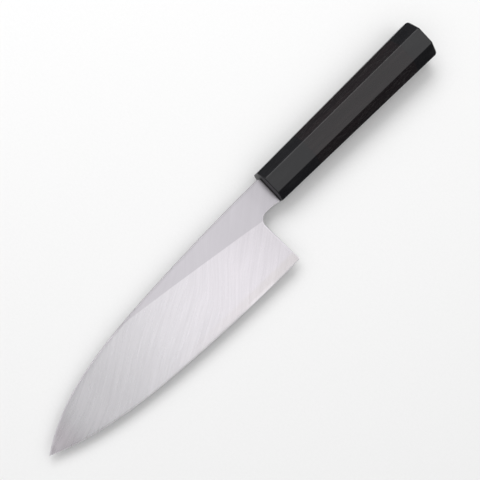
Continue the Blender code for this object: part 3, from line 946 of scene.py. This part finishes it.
HORN_BLACK = (0.0036, 0.0036, 0.0050, 1.0)
HORN_VEIL = (0.0076, 0.0078, 0.0090, 1.0)
HORN_FIBRE = (0.010, 0.010, 0.012, 1.0)
FRONT_FACE_STARTS = (0.0738, 0.0743)
EBONY_DARK = (0.0054, 0.0034, 0.0046, 1.0)
EBONY_BROWN = (0.0112, 0.0074, 0.0084, 1.0)
EBONY_LINE = (0.0090, 0.0060, 0.0070, 1.0)
EBONY_PORE = (0.0050, 0.0042, 0.0040, 1.0)
DOWEL_PALE = (0.56, 0.39, 0.23, 1.0)
DOWEL_LINE = (0.38, 0.24, 0.13, 1.0)
RESIN_PALE = (0.66, 0.52, 0.30, 1.0)
RESIN_DEEP = (0.50, 0.37, 0.19, 1.0)
SEALANT_DARK = (0.006, 0.006, 0.006, 1.0)
SEALANT_SMEAR = (0.016, 0.015, 0.014, 1.0)


def black_horn():
    """Polished buffalo horn: near black, faint blue-grey marbling, fine rubbing marks.

    The ferrule's front face is duller than the facets.
    """
    material, tree, shader = new_material("black_horn")
    place = object_place(tree)
    cloud = marks(tree, place, length=0.030, width=0.0060, detail=3.0)
    fibre = marks(tree, place, length=0.012, width=0.0004, shift=4.7)
    colour = blend(tree, ramp(tree, cloud, 0.50, 0.74), HORN_BLACK, HORN_VEIL)
    colour = blend(tree, ramp(tree, fibre, 0.45, 0.75, 0.0, 0.3), colour, HORN_FIBRE)
    rough = reckon(tree, "MULTIPLY_ADD", fibre, 0.10, 0.14)
    rough = reckon(tree, "MULTIPLY_ADD", drift(tree, place, size=0.012), 0.10, rough)
    dullness = ramp(tree, east_of(tree, place), *FRONT_FACE_STARTS, 0.0, 0.15)
    rough = reckon(tree, "ADD", rough, dullness)
    set_shader(tree, shader, colour, rough, fibre, relief=0.000012)
    return material


def ebony_wood():
    """Ebony: near black with fine brown lines along the grain and short open pores."""
    material, tree, shader = new_material("ebony")
    place = object_place(tree)
    line = marks(tree, place, length=0.110, width=0.0020, detail=3.0)
    fine = marks(tree, place, length=0.040, width=0.00045, shift=5.9)
    pore = marks(tree, place, length=0.0045, width=0.00022, detail=0.0, shift=2.2)
    open_pore = ramp(tree, pore, 0.63, 0.72)
    colour = blend(tree, ramp(tree, line, 0.46, 0.70), EBONY_DARK, EBONY_BROWN)
    colour = blend(tree, ramp(tree, fine, 0.48, 0.72, 0.0, 0.35), colour, EBONY_LINE)
    colour = blend(tree, open_pore, colour, EBONY_PORE)
    rough = reckon(tree, "MULTIPLY_ADD", fine, 0.08, 0.15)
    rough = reckon(tree, "MULTIPLY_ADD", open_pore, 0.10, rough)
    height = reckon(tree, "SUBTRACT", reckon(tree, "MULTIPLY", fine, 0.4), open_pore)
    set_shader(tree, shader, colour, rough, height, relief=0.000005)
    return material


def turned_dowel():
    """Bare turned hardwood: pale, with darker lines along the grain."""
    material, tree, shader = new_material("dowel_wood")
    line = marks(tree, object_place(tree), length=0.050, width=0.0008, detail=3.0)
    colour = blend(tree, ramp(tree, line, 0.40, 0.70), DOWEL_PALE, DOWEL_LINE)
    rough = reckon(tree, "MULTIPLY_ADD", line, 0.2, 0.55)
    set_shader(tree, shader, colour, rough, line, relief=0.00004)
    return material


def set_resin():
    """Set adhesive: cloudy amber with small pits."""
    material, tree, shader = new_material("set_resin")
    place = object_place(tree)
    cloud = drift(tree, place, size=0.004)
    pit = marks(tree, place, length=0.0006, width=0.0006, detail=0.0)
    colour = blend(tree, ramp(tree, cloud, -0.2, 0.2), RESIN_PALE, RESIN_DEEP)
    rough = reckon(tree, "MULTIPLY_ADD", cloud, 0.2, 0.4)
    set_shader(tree, shader, colour, rough, pit, relief=0.00003)
    return material


def dark_sealant():
    """A smoothed bead of dark sealant: near black, slightly uneven."""
    material, tree, shader = new_material("dark_sealant")
    smear = marks(tree, object_place(tree), length=0.0015, width=0.0008)
    colour = blend(tree, smear, SEALANT_DARK, SEALANT_SMEAR)
    rough = reckon(tree, "MULTIPLY_ADD", smear, 0.2, 0.42)
    set_shader(tree, shader, colour, rough, smear, relief=0.00004)
    return material


# Studio

CAMERA_TARGET = (0.0335, 0.01006, 0.0)
CAMERA_LEAN = (math.radians(13.5), math.radians(-3.7))
CAMERA_DISTANCE = 0.7467
KNIFE_ANGLE = math.radians(44.6)
CAMERA_LENS = 97.5
CAMERA_SENSOR = 36.0
CAMERA_CLIP = 0.01
FLOOR_HALF = 6.0
FLOOR_DROP = 0.0001
FLOOR_PALE = (0.80, 0.80, 0.80, 1.0)
FLOOR_TOOTH = (0.83, 0.83, 0.83, 1.0)

# The sky's light over its height: start, end, level below and level above; and over Y: slope, mean
SKY_BELT = (0.20, 0.58, 0.10, 1.0)
SKY_TOP = (0.84, 0.95, 1.0, 0.28)
SKY_SIDE = (-0.22, 0.95)

# Softboxes: place, aim, size and radiance
OVERHEAD_SOFTBOX = ((-0.21, 0.05, 1.0), (-0.21, 0.05, 0.0), (0.81, 0.81), 0.88)
SIDE_SOFTBOX = ((-0.20, -0.85, 1.0), (-0.20, 0.0, 0.0), (1.2, 0.7), 3.6)


def make_camera():
    """The camera over the blade's left face, leaning towards the tip, the knife across the frame."""
    away = Vector((math.tan(CAMERA_LEAN[0]), math.tan(CAMERA_LEAN[1]), 1.0)).normalized()
    to_tip = Vector((1.0, 0.0, 0.0))
    to_tip = (to_tip - away * to_tip.dot(away)).normalized()
    to_edge = away.cross(to_tip)
    right = -math.cos(KNIFE_ANGLE) * to_tip + math.sin(KNIFE_ANGLE) * to_edge
    down = math.sin(KNIFE_ANGLE) * to_tip + math.cos(KNIFE_ANGLE) * to_edge
    turn = Matrix((right, -down, away)).transposed().to_4x4()
    place = Matrix.Translation(Vector(CAMERA_TARGET) + away * CAMERA_DISTANCE)
    data = bpy.data.cameras.new("camera")
    data.lens = CAMERA_LENS
    data.sensor_width = CAMERA_SENSOR
    data.clip_start = CAMERA_CLIP
    camera = bpy.data.objects.new("camera", data)
    bpy.context.scene.collection.objects.link(camera)
    camera.matrix_world = KNIFE_TO_WORLD @ place @ turn
    bpy.context.scene.camera = camera


def softbox(name, place, aim, size, radiance):
    """A rectangular lamp of the given radiance, facing its aim, its length along X."""
    data = bpy.data.lights.new(name, "AREA")
    data.shape = "RECTANGLE"
    data.size, data.size_y = size
    data.energy = radiance * math.pi * size[0] * size[1]
    lamp = bpy.data.objects.new(name, data)
    bpy.context.scene.collection.objects.link(lamp)
    lamp.location = place
    lamp.rotation_euler = (Vector(aim) - Vector(place)).to_track_quat("-Z", "Y").to_euler()


def make_world():
    """A plain sky: dim at the horizon, pale half way up, dimmer overhead, brighter over -Y."""
    world = bpy.data.worlds.new("studio")
    bpy.context.scene.world = world
    world.use_nodes = True
    tree = world.node_tree
    direction = put(tree, "ShaderNodeTexCoord").outputs["Generated"]
    parts = put(tree, "ShaderNodeSeparateXYZ", {0: direction})
    belt = ramp(tree, parts.outputs[2], *SKY_BELT)
    top = ramp(tree, parts.outputs[2], *SKY_TOP)
    side = reckon(tree, "MULTIPLY_ADD", parts.outputs[1], *SKY_SIDE)
    strength = reckon(tree, "MULTIPLY", reckon(tree, "MULTIPLY", belt, top), side)
    background = tree.nodes["Background"]
    background.inputs["Color"].default_value = (1.0, 1.0, 1.0, 1.0)
    tree.links.new(strength, background.inputs["Strength"])


def make_floor():
    """A pale, matt floor with a faint tooth, just under the handle."""
    material, tree, shader = new_material("floor_paper")
    tooth = marks(tree, object_place(tree), length=0.0015, width=0.0015)
    colour = blend(tree, tooth, FLOOR_PALE, FLOOR_TOOTH)
    set_shader(tree, shader, colour, 0.75, tooth, relief=0.00003)
    signs = ((-1, -1), (1, -1), (1, 1), (-1, 1))
    corners = [(x * FLOOR_HALF, y * FLOOR_HALF, -FLOOR_DROP) for x, y in signs]
    mesh = bpy.data.meshes.new("floor")
    mesh.from_pydata(corners, [], [(0, 1, 2, 3)])
    mesh.materials.append(material)
    floor = bpy.data.objects.new("floor", mesh)
    bpy.context.scene.collection.objects.link(floor)


def dress_nodes():
    """Materials for the hidden pieces that keep their frame shapes."""
    wood, resin = turned_dowel(), set_resin()
    for node, material in (("tang_dowel", wood), ("cap_dowel", wood), ("tang_bedding", resin)):
        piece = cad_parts[node]
        piece.data.materials.clear()
        piece.data.materials.append(material)


make_blade(satin_steel())
horn = black_horn()
make_ferrule(horn)
make_body(ebony_wood())
make_cap(horn)
make_seal(dark_sealant())
dress_nodes()
make_floor()
make_world()
make_camera()
softbox("overhead_softbox", *OVERHEAD_SOFTBOX)
softbox("side_softbox", *SIDE_SOFTBOX)
bpy.context.scene.view_settings.view_transform = "Standard"
